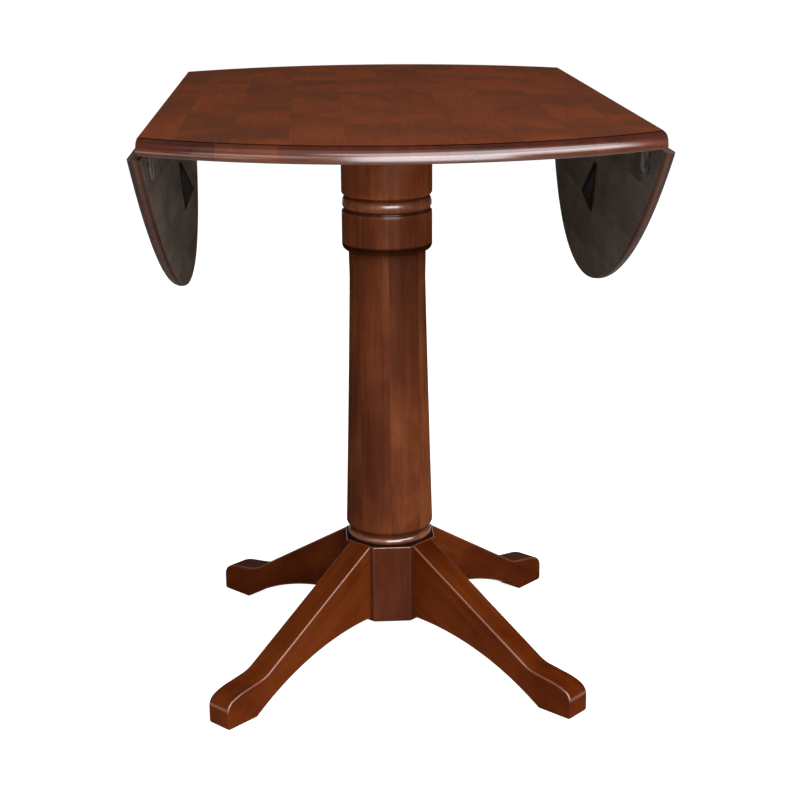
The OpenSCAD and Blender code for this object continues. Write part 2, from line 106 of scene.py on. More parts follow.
def new_object(name, points, faces, sharp=35.0):
    """Makes a mesh object at the origin, smooth except where it turns by more than sharp."""
    mesh = bpy.data.meshes.new(name)
    mesh.from_pydata(points.reshape(-1, 3).tolist(), [], [list(f) for f in faces])
    mesh.validate()
    mesh.polygons.foreach_set("use_smooth", np.ones(len(mesh.polygons), dtype=bool))
    mesh.set_sharp_from_angle(angle=radians(sharp))
    piece = bpy.data.objects.new(name, mesh)
    bpy.context.collection.objects.link(piece)
    return piece


def loft(name, rings, sharp=35.0):
    """Skins a stack of closed rings and closes both ends with one flat face each."""
    rows, cols = rings.shape[:2]
    faces = skin(rows, cols).tolist()
    faces.append(list(range(cols))[::-1])
    faces.append(list(range((rows - 1) * cols, rows * cols)))
    return new_object(name, rings, faces, sharp)


def read(items, key):
    """One vector of every vertex or face of a mesh, as an array."""
    values = np.empty(len(items) * 3, dtype=np.float32)
    items.foreach_get(key, values)
    return values.reshape(-1, 3)


def mesh_points(piece):
    """All of a mesh's vertices as one array."""
    return read(piece.data.vertices, "co")


def settle(piece, body, *nodes, slot):
    """Lets a piece move with its body and stand for its nodes, which are hidden. The slot is not used."""
    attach(piece, body)
    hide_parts(*nodes)


print("surface helpers ready")

# %% [markdown]
# ## Grain, as a place inside the timber
# Wood is a solid: its figure runs through a board and shows on every cut face. An unwrapped picture would
# break at each edge. So each vertex gets the place that it would have in a straight board, with the grain
# along the first axis, and a hanging leaf keeps the grain that it has when it is up.

# %% Store grain places
def add_attribute(piece, name, kind, key, values):
    """Stores one vector or number for each vertex, as a named attribute that a material can read."""
    layer = piece.data.attributes.new(name, kind, "POINT")
    layer.data.foreach_set(key, np.ascontiguousarray(values, dtype=np.float32).ravel())


def set_grain(piece, places, ease, hollow=0.0):
    """Stores each vertex's place in straight timber, how far it lies on an eased arris, and how much painted
    shade it gets, each from 0 to 1."""
    add_attribute(piece, "grain_place", "FLOAT_VECTOR", "vector", places)
    for name, share in (("ease", ease), ("hollow", hollow)):
        add_attribute(piece, name, "FLOAT", "value", np.broadcast_to(share, len(places)))


def near(z, heights, span):
    """One close to any of some heights, and less away from them: e to the minus square of distance over span."""
    return np.max([np.exp(-((z - h) / span) ** 2) for h in heights], axis=0)


print("grain helpers ready")

# %% [markdown]
# ## The top's edge profile
# The round edge starts at a small shoulder below the face, runs out almost level and turns down to the rim: a
# shaper cuts this with a knife of two arcs. The straight joint edges stay almost square, to meet without a
# gap. The profile could be swept round as a curve, but an inset for each height serves both kinds of edge.

# %% Edge profile
EDGE_IN = 24 * MM
EDGE_DROP = 15 * MM
EDGE_STEP = 0.8 * MM
TIP_SHARE = 0.86        # the tip arc's radius over the edge's height
LOW_ARRIS_R = 2.6 * MM
JOINT_EASE = 0.7 * MM


def edge_profile(steps=11, low_steps=5):
    """Heights from the underside to the face, with the inset of the round edge. The wide arc's radius is
    (width squared plus height squared less twice width times tip radius) over twice (height less tip radius),
    and the two arcs meet where the line through their centres crosses them."""
    top = BOARD_T - EDGE_STEP
    height = EDGE_DROP - EDGE_STEP
    tip_r = TIP_SHARE * height
    wide_r = (EDGE_IN ** 2 + height ** 2 - 2 * EDGE_IN * tip_r) / (2 * (height - tip_r))
    meet = np.arctan2(wide_r - height, EDGE_IN - tip_r)
    low = np.linspace(0, np.pi / 2, low_steps)
    tip = np.linspace(0, meet, steps)
    wide = np.linspace(meet, np.pi / 2, steps)[1:]
    z = np.concatenate([[0], LOW_ARRIS_R * (1 - np.cos(low)), top - height + tip_r * np.sin(tip),
                        top - wide_r + wide_r * np.sin(wide), [BOARD_T, BOARD_T]])
    inset = np.concatenate([[LOW_ARRIS_R + MM], LOW_ARRIS_R * (1 - np.sin(low)), tip_r * (1 - np.cos(tip)),
                            EDGE_IN - wide_r * np.cos(wide), [EDGE_IN, EDGE_IN + MM]])
    return z, inset


def joint_inset(z):
    """Inset of a straight joint edge at a height: a small quarter circle at the face and at the underside."""
    from_face = np.minimum(z, BOARD_T - z)
    depth = np.clip(JOINT_EASE - from_face, 0, JOINT_EASE)
    return JOINT_EASE - np.sqrt(JOINT_EASE ** 2 - depth ** 2)


profile_z, profile_in = edge_profile()
print("edge profile of", len(profile_z), "heights")

# %% [markdown]
# ## The fixed board
# The board is a disc with two sides sawn straight. A cylinder with two cuts would lose its eased edge at the
# sides. Here each ring is a front arc and a back arc that end on the straight sides.

# %% Fixed board
def rise(flat):
    """Adds the profile's heights to rows of flat points."""
    height = np.broadcast_to(profile_z[:, None, None], flat.shape[:2] + (1,))
    return np.concatenate([flat, height + UNDER_Z], axis=-1)


def board_rings(arc_points=97):
    """Rings of the fixed board: at each height, arcs of the inset radius between the two inset sides. Half an
    arc's angle is the arc sine of side over radius."""
    side = HALF_W - joint_inset(profile_z)
    r = (TOP_R - profile_in)[:, None]
    angle = np.arcsin(side[:, None] / r) * np.linspace(-1, 1, arc_points)
    front = np.stack([r * np.sin(angle), -r * np.cos(angle)], -1)
    return rise(np.concatenate([front, -front], axis=1))


fixed_board = loft("fixed_board", board_rings())
print("fixed board of", len(fixed_board.data.vertices), "points")

# %% [markdown]
# ## Notches over the knuckles
# Each hinge's barrel lies half in the board, in a notch in the lower edge. Drawn into the rings, the notches
# would need rows of their own. A boolean with plain blocks is shorter, and its result is kept as the mesh.

# %% Cut the notches
NOTCH = np.array([9.4, 51.4, 4.2]) * MM     # depth, length and height
NOTCH_SLACK = 0.7 * MM                      # the depth is counted from this far outside the board
CUTTER_OUT, CUTTER_BELOW = 5 * MM, 3 * MM
HINGE_LEN = 50 * MM
HINGE_Y = (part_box("hinge_pins")[1][1] * 2 - HINGE_LEN) / 2


def block(name, low, high):
    """A plain block from its lowest to its highest corner."""
    across, along, up = zip(low, high)
    corners = np.array([[x, y, z] for z in up for y in along for x in across])
    faces = [(0, 2, 3, 1), (4, 5, 7, 6), (0, 1, 5, 4), (2, 6, 7, 3), (0, 4, 6, 2), (1, 3, 7, 5)]
    return new_object(name, corners, faces)


def cut_away(piece, cutter):
    """Cuts one mesh out of another and keeps the result."""
    boolean = piece.modifiers.new("cut", "BOOLEAN")
    boolean.operation = "DIFFERENCE"
    boolean.solver = "EXACT"
    boolean.object = cutter
    graph = bpy.context.evaluated_depsgraph_get()
    result = bpy.data.meshes.new_from_object(piece.evaluated_get(graph))
    piece.modifiers.clear()
    piece.data = result
    bpy.data.objects.remove(cutter)


for side in (-1, 1):
    for y in (-HINGE_Y, HINGE_Y):
        ends = sorted((side * (HALF_W - NOTCH[0] + NOTCH_SLACK), side * (HALF_W + CUTTER_OUT)))
        low = np.array([ends[0], y - NOTCH[1] / 2, UNDER_Z - CUTTER_BELOW])
        high = np.array([ends[1], y + NOTCH[1] / 2, UNDER_Z + NOTCH[2]])
        cut_away(fixed_board, block("notch", low, high))
print("board after notches:", len(fixed_board.data.polygons), "faces")

# %% [markdown]
# ## Rubbed and shaded places, and the faces of a board
# Hands rub the rim, and there the stain is lightened, as wear and as painted sheen; the shoulder and the
# round edge's foot get painted shade. That could be painted by hand. Here it follows from radius and height,
# so the leaves get it too, and so does each face's kind: face, underside and edges are finished apart.

# %% Masks and face kinds
CLOSE = 0.05 * MM
SHOULDER_R = TOP_R - EDGE_IN
RIM_Z, RIM_SPAN = BOARD_T - 0.85 * EDGE_DROP, 3.3 * MM
ARRIS_Z, ARRIS_SPAN = LOW_ARRIS_R / 2, 2.2 * MM
# The round edge's foot gets painted shade at this share.
FOOT_SHADE, FOOT_Z, FOOT_SPAN, FOOT_FROM = 0.5, 2 * MM, 2.4 * MM, 0.2 * MM
UPPER_FACE, UNDERSIDE, ROUND_EDGE, JOINT_EDGE = range(4)
JOINT_NEAR = 1.2 * MM
SIDEWAYS, DOWNWARD = 0.5, -0.9


def arris_mask(z):
    """One at the rim and at the lower arris, where hands rub most and the lighter colour adds a painted sheen,
    and none on the flats.
    """
    return np.maximum(near(z, (RIM_Z,), RIM_SPAN), near(z, (ARRIS_Z,), ARRIS_SPAN))


def edge_shade_mask(points):
    """Painted shade: one along the shoulder where the round edge starts, and part of one at the round edge's
    foot, by radius and height above the underside."""
    radius, z = np.hypot(points[:, 0], points[:, 1]), points[:, 2] - UNDER_Z
    shoulder = (np.abs(radius - SHOULDER_R) < CLOSE) & (z > BOARD_T - EDGE_STEP - CLOSE)
    foot = FOOT_SHADE * near(z, (FOOT_Z,), FOOT_SPAN) * (radius > TOP_R - EDGE_IN / 2) * (z > FOOT_FROM)
    return np.maximum(shoulder, foot)


def face_kinds(piece, joint_x):
    """Sorts a flat board's faces by their centres' radius and distance from the joint, and by their normals."""
    centre, normal = (read(piece.data.polygons, key) for key in ("center", "normal"))
    kinds = np.where(np.hypot(centre[:, 0], centre[:, 1]) > SHOULDER_R - CLOSE, ROUND_EDGE, UPPER_FACE)
    at_joint = np.abs(np.abs(centre[:, 0]) - joint_x) < JOINT_NEAR
    kinds = np.where(at_joint & (np.abs(normal[:, 0]) > SIDEWAYS), JOINT_EDGE, kinds)
    return np.where(normal[:, 2] < DOWNWARD, UNDERSIDE, kinds).astype(np.int32)


print("rim rubbed at", round(RIM_Z / MM, 2), "mm above the underside")

# %% Grain and body of the fixed board
RIM_FADE = 4 * MM
points = mesh_points(fixed_board)
radius = np.hypot(points[:, 0], points[:, 1])
rim = np.clip((radius - (SHOULDER_R - MM)) / RIM_FADE, 0, 1)
set_grain(fixed_board, points[:, [1, 0, 2]], arris_mask(points[:, 2] - UNDER_Z) * rim, edge_shade_mask(points))
KINDS = {"fixed_board": face_kinds(fixed_board, HALF_W)}
settle(fixed_board, "stand", "center_top", slot="stained_wood")
print("fixed board placed, faces of each kind:", np.bincount(KINDS["fixed_board"]))

# %% [markdown]
# ## The leaves
# A leaf is what is left of the disc beyond the joint. It could be modelled hanging, but a maker cuts it flat.
# So it is drawn flat, gets its grain there, and is then turned about the hinge pin.

# %% Leaves
JOINT_GAP = 0.8 * MM
LEAF_START = HALF_W - PIN_X + JOINT_GAP


def leaf_rings(arc_points=129):
    """Rings of a leaf, lying flat to the right: an arc of the inset radius that starts and ends on the joint
    line. Half its angle is the arc cosine of the joint's distance over the radius."""
    joint = PIN_X + LEAF_START + joint_inset(profile_z)
    r = (TOP_R - profile_in)[:, None]
    angle = np.arccos(joint[:, None] / r) * np.linspace(-1, 1, arc_points)
    return rise(np.stack([r * np.cos(angle), r * np.sin(angle)], -1))


def hang(piece, side):
    """Turns a flat piece about the pin, down by the leaf's drop, and mirrors it to the left for side -1: x and
    z turn as on a clock, y stays. Mirrored faces are turned to point outwards again."""
    flat = mesh_points(piece)
    x = flat[:, 0] - PIN_X
    z = flat[:, 2] - UNDER_Z
    c, s = np.cos(LEAF_DROP), np.sin(LEAF_DROP)
    turned = np.stack([side * (PIN_X + x * c + z * s), flat[:, 1], UNDER_Z - x * s + z * c], -1)
    piece.data.vertices.foreach_set("co", turned.ravel())
    if side < 0:
        piece.data.flip_normals()
    piece.data.update()


leaves = {}
for name, side in (("left", -1), ("right", 1)):
    leaf = loft(name + "_drop_leaf", leaf_rings())
    flat = mesh_points(leaf)
    edge = np.hypot(flat[:, 0], flat[:, 1]) > SHOULDER_R
    KINDS[leaf.name] = face_kinds(leaf, PIN_X + LEAF_START)
    grain = flat[:, [1, 0, 2]] * np.array([1, side, 1])
    set_grain(leaf, grain, arris_mask(flat[:, 2] - UNDER_Z) * edge, edge_shade_mask(flat))
    hang(leaf, side)
    settle(leaf, name + "_leaf", name + "_leaf", slot="stained_wood")
    leaves[name] = leaf
print("leaves hang to", round(float(mesh_points(leaves["left"])[:, 2].min()), 4), "m")

# %% [markdown]
# ## Wedges on the leaves
# Each leaf carries a small block, thin at one end, that the support slide rides under. A bevelled block
# would need its slopes turned. So it is a side outline carried across its width and drawn in near both sides.

# %% Wedges
WEDGE = np.array([[84, 0], [84, -2], [127, -16.5], [158, 0]]) * MM
WEDGE_W = 22 * MM
WEDGE_IN = np.array([0, 0.25, 0.9]) * MM        # ways in from a side,
WEDGE_INSET = np.array([0.9, 0.35, 0]) * MM     # and the insets there
WEDGE_RUB = 0.3
LANE_Y = 34 * MM


def shrink(outline, inset):
    """Draws a closed outline in by an inset: each corner moves along the sum of its two edges' normals,
    over one plus their dot product."""
    edge = outline - np.roll(outline, 1, axis=0)
    n1 = np.stack([edge[:, 1], -edge[:, 0]], -1) / np.linalg.norm(edge, axis=1)[:, None]
    n2 = np.roll(n1, -1, axis=0)
    return outline - inset * (n1 + n2) / (1 + np.sum(n1 * n2, axis=1))[:, None]


def side_rings(outline, half, ways, insets, middle=0.0):
    """Rings of a piece that is the same on both sides: its side outline, as x and z, at each way in from either
    side, drawn in by the inset there, with y about a middle."""
    places = np.concatenate([ways - half, (half - ways)[::-1]]) + middle
    rings = []
    for y, inset in zip(places, np.concatenate([insets, insets[::-1]])):
        line = outline(inset)
        rings.append(np.stack([line[:, 0], np.full(len(line), y), line[:, 1]], -1))
    return np.array(rings)


def wedge_outline(inset):
    """The wedge's side outline under the flat leaf, drawn in by an inset."""
    return shrink(WEDGE, inset) + np.array([PIN_X, UNDER_Z])


for name, side in (("left", -1), ("right", 1)):
    rings = side_rings(wedge_outline, WEDGE_W / 2, WEDGE_IN, WEDGE_INSET, -side * LANE_Y)
    wedge = loft(name + "_ramp_block", rings, sharp=30)
    set_grain(wedge, mesh_points(wedge), WEDGE_RUB)
    hang(wedge, side)
    settle(wedge, name + "_leaf", name + "_wedge", slot="dark_wood")
print("wedges", round(WEDGE_W / MM), "mm wide ready")

# %% [markdown]
# ## The turned column
# A turner cuts a half outline into a spinning blank. A Screw modifier could spin it too. With numpy, radius
# against height is carried round the axis, and the heights are there for the masks of crests and grooves.

# %% Arcs and lathe work
def arc(center, r, start, end, steps):
    """Points of an arc about a centre, from one angle to another in degrees: centre plus radius times
    cosine and sine."""
    a = np.radians(np.linspace(start, end, steps))
    return np.stack([center[0] + r * np.cos(a), center[1] + r * np.sin(a)], -1)


def lathe(name, outline, turns=160, sharp=40.0):
    """Carries a half outline round the upright axis, as radius times cosine, radius times sine and height, and
    closes both ends."""
    a = np.linspace(0, 2 * np.pi, turns, endpoint=False)
    r, z = outline[:, :1], outline[:, 1:]
    return loft(name, np.stack([r * np.cos(a), r * np.sin(a), z + 0 * a], -1), sharp)


def fill(outline, gap=4 * MM):
    """Adds points along an outline's long stretches, evenly, so that none is longer than a gap."""
    parts = []
    for a, b in zip(outline[:-1], outline[1:]):
        count = max(1, int(np.ceil(np.linalg.norm(b - a) / gap)))
        share = np.arange(count)[:, None] / count
        parts.append(a + (b - a) * share)
    parts.append(outline[-1:])
    return np.concatenate(parts)


print("lathe ready")

# %% [markdown]
# ## Upper column
# The upper section lifts the table to counter height, with a neck, a round bead and a drum. A torus would
# bulge too far for the bead, so it is a flat arc with a radius of its own.

# %% Upper column
upper_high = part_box("upper_column")[1]
main_low, main_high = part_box("main_column")
UPPER_R = upper_high[0]
HEAD_Z = upper_high[2]
SEAM_Z = main_high[2]
HUB_TOP = main_low[2]
COLLAR_R = 71.25 * MM
SEAM_R = COLLAR_R - 3.25 * MM
BEAD_HALF = 8.5 * MM
BEAD_OUT = 2.8 * MM
BEAD_LIFT = 2 * MM
DRUM_GAP = 3 * MM
DRUM_ROUND = 6 * MM
DRUM_START = -70
NICK = 0.6 * MM
SMALL_ARRIS = 0.8 * MM


def upper_outline():
    """From the seam up: a short neck, a bead, a groove and the drum under the head plate. The bead's radius is
    (half height squared plus reach squared) over twice its reach."""
    bead_r = (BEAD_HALF ** 2 + BEAD_OUT ** 2) / (2 * BEAD_OUT)
    bead = (SEAM_R + BEAD_OUT - bead_r, SEAM_Z + BEAD_LIFT + BEAD_HALF)
    bead_top = bead[1] + BEAD_HALF
    drum_z = bead_top + DRUM_GAP
    reach = np.degrees(np.arcsin(BEAD_HALF / bead_r))
    return np.concatenate([
        [[SEAM_R - NICK, SEAM_Z], [SEAM_R, SEAM_Z + NICK]],
        arc(bead, bead_r, -reach, reach, 25),
        [[SEAM_R - NICK, bead_top + SMALL_ARRIS], [SEAM_R - NICK, drum_z - SMALL_ARRIS / 2], [SEAM_R, drum_z]],
        arc((UPPER_R - DRUM_ROUND, drum_z + DRUM_ROUND), DRUM_ROUND, DRUM_START, 0, 12),
        [[UPPER_R, HEAD_Z - SMALL_ARRIS], [UPPER_R - SMALL_ARRIS, HEAD_Z]],
    ])


upper = lathe("upper_turning", fill(upper_outline()))
print("upper column", round(UPPER_R * 2 / MM, 1), "mm across")

# %% [markdown]
# ## Main column
# This is a ring, a shaft that narrows to a neck, and a collar. A straight cone would look stiff, so the
# shaft's radius grows with a power of the way down that is a little over one.

# %% Main column
RING_R = 6.5 * MM
RING_REACH = 69 * MM
NECK_R = 60.5 * MM
SHAFT_R = 71 * MM
SHAFT_ROUND = 6 * MM
COLLAR_LOW = SEAM_Z - 55 * MM
COLLAR_ROUND = 10.5 * MM
LIP_R, LIP_DROP, LIP_TURN = 1.6 * MM, 3.8 * MM, 70
SHOULDER_DROP, SHOULDER_IN = 2 * MM, 0.4 * MM
TAPER_TOP = COLLAR_LOW - 54 * MM
TAPER_LOW = HUB_TOP + 2 * RING_R + 12.5 * MM
TAPER_POWER = 1.15
UNDERCUT = -88      # an arc that starts here comes in from below, just short of level


def shaft(z):
    """Radius of the shaft at a height: neck plus the rest times the share of the way down, to a power."""
    share = np.clip((TAPER_TOP - z) / (TAPER_TOP - TAPER_LOW), 0, 1)
    return NECK_R + (SHAFT_R - NECK_R) * share ** TAPER_POWER


def main_outline():
    """From the hub up: ring, groove, rounded foot, tapered shaft, neck, collar and the shoulder at the seam."""
    z = np.linspace(TAPER_LOW, TAPER_TOP, 60)[1:]
    return np.concatenate([
        arc((RING_REACH - RING_R, HUB_TOP + RING_R), RING_R, UNDERCUT, 90, 33),
        arc((SHAFT_R - SHAFT_ROUND, TAPER_LOW), SHAFT_ROUND, -90, 0, 10),
        np.stack([shaft(z), z], -1),
        arc((COLLAR_R - COLLAR_ROUND, COLLAR_LOW), COLLAR_ROUND, UNDERCUT, 0, 18),
        arc((COLLAR_R - LIP_R, SEAM_Z - LIP_DROP), LIP_R, 0, LIP_TURN, 6),
        [[SEAM_R, SEAM_Z - SHOULDER_DROP], [SEAM_R - SHOULDER_IN, SEAM_Z]],
    ])


column = lathe("main_turning", fill(main_outline()))
print("main column of", len(column.data.vertices), "points")

# %% [markdown]
# ## Crests and painted shade of the column
# The crests get the full coat and a lighter colour, as wear and as painted sheen; the grooves and the neck
# under the collar get painted shade. Ambient occlusion could find such places, but it changes with the mesh.
# The outline's heights are known, so the masks follow them.

# %% Grain and bodies of the columns
CRESTS, CREST_SPAN = (SEAM_Z + 13.5 * MM, HUB_TOP + RING_R + 3.5 * MM), 3.5 * MM
COLLAR_CREST, COLLAR_SPAN, COLLAR_SHARE = SEAM_Z - 2.4 * MM, 3 * MM, 0.3
SHADED_GROOVES = (SEAM_Z + 20.5 * MM, SEAM_Z + 0.5 * MM, HUB_TOP + 2 * RING_R + 2 * MM, HUB_TOP)
GROOVE_SHADE_SPAN = 1.8 * MM
SHADE_SPAN = 16 * MM


def upright_grain(points):
    """Grain places of an upright piece: height becomes the length of the timber."""
    return np.stack([points[:, 2], points[:, 0], points[:, 1]], -1)


for piece, node in ((upper, "upper_column"), (column, "main_column")):
    points = mesh_points(piece)
    z = points[:, 2]
    # Painted shade in the grooves and on the neck under the collar.
    collar_shade = np.where(z < COLLAR_LOW + MM, near(z, (COLLAR_LOW,), SHADE_SPAN), 0)
    hollow = np.maximum(near(z, SHADED_GROOVES, GROOVE_SHADE_SPAN), collar_shade)
    # The crests get the full coat and a lighter colour, as wear and as painted sheen.
    ease = np.maximum(near(z, CRESTS, CREST_SPAN), COLLAR_SHARE * near(z, (COLLAR_CREST,), COLLAR_SPAN))
    set_grain(piece, upright_grain(points), ease, hollow)
    settle(piece, "stand", node, slot="stained_wood")
print("columns placed")

# %% [markdown]
# ## The hub
# The hub is an eight-sided block that the legs are bolted to. A cylinder with eight sides would have sharp
# corners. So its rings are octagons with small flats, drawn in above and below. Its hollow, which never
# shows, is left to the construction.

# %% Hub
hub_low, hub_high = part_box("hub")
HUB_HALF = hub_high[0]
CORNER_R = HUB_HALF / np.cos(np.pi / 8)
CORNER_NEAR, CORNER_SHARE = 0.55 * MM, 0.08
ARRIS_DROP, ARRIS_END = 0.8 * MM, 1.7 * MM
# Painted shade darkens the hub's top inside this line, round the column's foot.
TOP_SHADE_IN, TOP_SHADE_SHARE = 2.4 * MM, 0.85      # the column hides the top inside this line
HUB_SHIFT = 0.2                             # keeps the edge of a stave off the front face


def octagon(apothem, per_side=7, corner=1.0 * MM):
    """An octagon with small flats at its corners, by its distance from centre to side: each side is a run of
    points between its eased ends, with two of them close to each end."""
    half = apothem * np.tan(np.pi / 8) - corner
    run = np.concatenate([[-half], np.linspace(-half + corner, half - corner, per_side - 2), [half]])
    base = np.stack([np.full(per_side, apothem), run], -1)
    a = np.arange(8) * np.pi / 4
    turn = np.stack([np.stack([np.cos(a), -np.sin(a)], -1), np.stack([np.sin(a), np.cos(a)], -1)], -2)
    return np.einsum("kij,pj->kpi", turn, base).reshape(-1, 2)


def hub_rings(ease=1.8 * MM, steps=6):
    """Rings of the hub from below to above, with a quarter round at both ends."""
    t = np.linspace(0, np.pi / 2, steps)
    z = np.concatenate([[hub_low[2]], hub_low[2] + ease * (1 - np.cos(t)), hub_high[2] - ease * (1 - np.sin(t)),
                        [hub_high[2]]])
    inset = np.concatenate([[ease + MM], ease * (1 - np.sin(t)), ease * (1 - np.cos(t)), [ease + MM]])
    return np.array([np.insert(octagon(HUB_HALF - i), 2, h, axis=1) for h, i in zip(z, inset)])


hub = loft("hub_block", hub_rings(), sharp=18)
points = mesh_points(hub)
radius, below = np.hypot(points[:, 0], points[:, 1]), hub_high[2] - points[:, 2]
corner = radius > CORNER_R - CORNER_NEAR
upper_arris = near(below, (ARRIS_DROP,), ARRIS_DROP) * (below < ARRIS_END)
# Painted shade on the hub's top.
shaded_top = (below < CLOSE) & (radius < CORNER_R - TOP_SHADE_IN)
set_grain(hub, upright_grain(points) + HUB_SHIFT, np.maximum(upper_arris, CORNER_SHARE * corner),
          TOP_SHADE_SHARE * shaded_top)
settle(hub, "stand", "hub", slot="stained_wood")
print("hub", round(HUB_HALF * 2 / MM), "mm across its flats")

# %% [markdown]
# ## The legs
# A leg is sawn from a thick board along its side outline: straight above, arched below, with a toe of arcs
# that meet without a corner. A Bezier curve could be drawn by eye, but arcs stay true when they are drawn in
# by an inset, and that rounds the arrises over.

# %% Leg outline
LEG_REACH = 392 * MM
PAD_LEN = 61 * MM
ARCH_Z = 78 * MM
LEG_SLOPE = 0.605
TOE_CORNER_R, TOE_LOW_R, TOE_BACK_R, INSTEP_R = 20 * MM, 5 * MM, 90 * MM, 60 * MM
TOE_TURN, TOE_LEVEL = 66.0, 81.5
TOE_FACE_TOP = 28 * MM


def toward(angle):
    """Unit vector at an angle in degrees."""
    return np.array([np.cos(np.radians(angle)), np.sin(np.radians(angle))])


def leg_outline(inset):
    """Side outline of a leg, as reach and height. It is drawn in by the inset: hollow arcs grow by it, round
    ones shrink by it, and straight runs move by it."""
    corner = np.array([LEG_REACH - TOE_CORNER_R, TOE_FACE_TOP])
    back = corner + (TOE_CORNER_R - TOE_BACK_R) * toward(TOE_TURN)
    hump = back + TOE_BACK_R * toward(TOE_LEVEL)
    normal_angle = 90 - np.degrees(np.arctan(LEG_SLOPE))
    n = toward(normal_angle)
    top = n @ np.array([HUB_HALF, hub_high[2] - MM])
    along = toward(TOE_LEVEL + 90)
    run = (top + INSTEP_R - n @ (hump + INSTEP_R * toward(TOE_LEVEL))) / (n @ along)
    instep = hump + run * along + INSTEP_R * toward(TOE_LEVEL)
    heel = LEG_REACH - PAD_LEN - HUB_HALF
    arch_r = (heel ** 2 + ARCH_Z ** 2) / (2 * ARCH_Z)
    arch = np.array([HUB_HALF, ARCH_Z - arch_r])
    heel_angle = np.degrees(np.arcsin((inset - arch[1]) / (arch_r + inset)))
    return np.concatenate([
        arc(arch, arch_r + inset, 90, heel_angle, 40),
        arc((LEG_REACH - TOE_LOW_R, TOE_LOW_R), TOE_LOW_R - inset, -90, 0, 6),
        arc(corner, TOE_CORNER_R - inset, 0, TOE_TURN, 14),
        arc(back, TOE_BACK_R - inset, TOE_TURN, TOE_LEVEL, 8)[1:],
        arc(instep, INSTEP_R + inset, TOE_LEVEL + 180, normal_angle + 180, 12),
        [[HUB_HALF, (top - inset - n[0] * HUB_HALF) / n[1]]],
    ])


print("leg outline of", len(leg_outline(0)), "points")

# %% [markdown]
# ## Leg pieces
# The four legs are cut to one pattern. Copies of one mesh would share their grain too. So each is made anew,
# with its own place in the timber, and turned to its slanting face of the hub.

# %% Leg pieces
LEG_NODES = {"leg_front_left": 225, "leg_front_right": 315, "leg_back_left": 135, "leg_back_right": 45}
LEG_HALF = 22 * MM
LEG_EASE = 3 * MM
LEG_INNER = 0.8 * MM    # how far inside the eased edge the level ring lies
LEG_STAVE = 62 * MM     # wider than a leg, so each leg is cut from one stave
LEG_SHIFT = np.array([0.9, 2 * LEG_STAVE, 0.33])
TOE_FADE = 5 * MM
TOE_LINE_SPAN, TOE_LINE_SHARE, TOE_FRONT = 2 * MM, 0.7, 3 * MM


def leg_rings(steps=6):
    """Rings of a leg along +X, drawn in on a quarter circle near both faces, with one more ring inside each
    face to keep it level."""
    t = np.linspace(0, np.pi / 2, steps)
    ways = np.concatenate([[0], LEG_EASE * (1 - np.cos(t))])
    insets = np.concatenate([[LEG_EASE + LEG_INNER], LEG_EASE * (1 - np.sin(t))])
    return side_rings(leg_outline, LEG_HALF, ways, insets)


def leg_ease(flat):
    """How far a leg's vertices lie on an arris: four c squared times (1 less c squared), where c is the cosine
    of the place on the quarter circle, so it is 1 half way round and 0 on both faces. It fades out down the
    toe's front, where a level line takes its place."""
    x, z = flat[:, 0], flat[:, 2]
    cosine = np.clip(1 - (LEG_HALF - np.abs(flat[:, 1])) / LEG_EASE, 0, 1)
    side = 4 * cosine ** 2 * (1 - cosine ** 2) * np.clip((z - TOE_FACE_TOP) / TOE_FADE, 0, 1)
    front = TOE_LINE_SHARE * near(z, (TOE_FACE_TOP + TOE_FADE,), TOE_LINE_SPAN) * (x > LEG_REACH - TOE_FRONT)
    return np.maximum(side, front)


def make_leg(name, angle):
    """One leg, turned to its face of the hub. Its grain follows the slope of its top."""
    leg = loft(name, leg_rings(), sharp=28)
    flat = mesh_points(leg)
    x, y, z = flat.T
    c, s = np.cos(np.arctan(LEG_SLOPE)), np.sin(np.arctan(LEG_SLOPE))
    grain = np.stack([x * c - z * s, y, x * s + z * c], -1)
    grain += LEG_SHIFT * angle / 45 + np.array([0.0, LEG_STAVE / 2, 0.0])
    a = np.radians(angle)
    turned = np.stack([x * np.cos(a) - y * np.sin(a), x * np.sin(a) + y * np.cos(a), z], -1)
    leg.data.vertices.foreach_set("co", turned.ravel())
    leg.data.update()
    set_grain(leg, grain, leg_ease(flat))
    return leg


for node, angle in LEG_NODES.items():
    leg = make_leg(node + "_shaped", angle)
    settle(leg, "stand", node, slot="dark_wood")
print("four legs placed")

# %% [markdown]
# ## Shared effects for timber
# Stained timber is glued from staves that took the stain unevenly, its figure runs in long streaks with
# fine pores, and the colour is thin on the arrises. Every material could repeat these nodes. As node groups
# they are built once, and each wood uses them with its own values.

# %% Node helpers
def feed(tree, socket, source):
    """Links a socket's source to it, or sets its value."""
    if isinstance(source, bpy.types.NodeSocket):
        tree.links.new(source, socket)
    else:
        socket.default_value = source


def feed_all(tree, node, inputs):
    """Links or sets a node's inputs, given by name or number."""
    for key, source in inputs.items():
        feed(tree, node.inputs[key], source)


def place_node(tree, kind, inputs=None, **settings):
    """Places a shader node, sets its settings and feeds its inputs. Returns it."""
    node = tree.nodes.new("ShaderNode" + kind)
    for key, value in settings.items():
        setattr(node, key, value)
    feed_all(tree, node, inputs or {})
    return node


def math(tree, kind, a, b=None, c=None, clamp=False):
    """A Math node on one to three sources. Returns its output."""
    sources = {i: source for i, source in enumerate((a, b, c)) if source is not None}
    return place_node(tree, "Math", sources, operation=kind, use_clamp=clamp).outputs[0]


def vector_math(tree, kind, a, b):
    """A Vector Math node on two sources. Returns its vector output."""
    return place_node(tree, "VectorMath", {0: a, 1: b}, operation=kind).outputs[0]


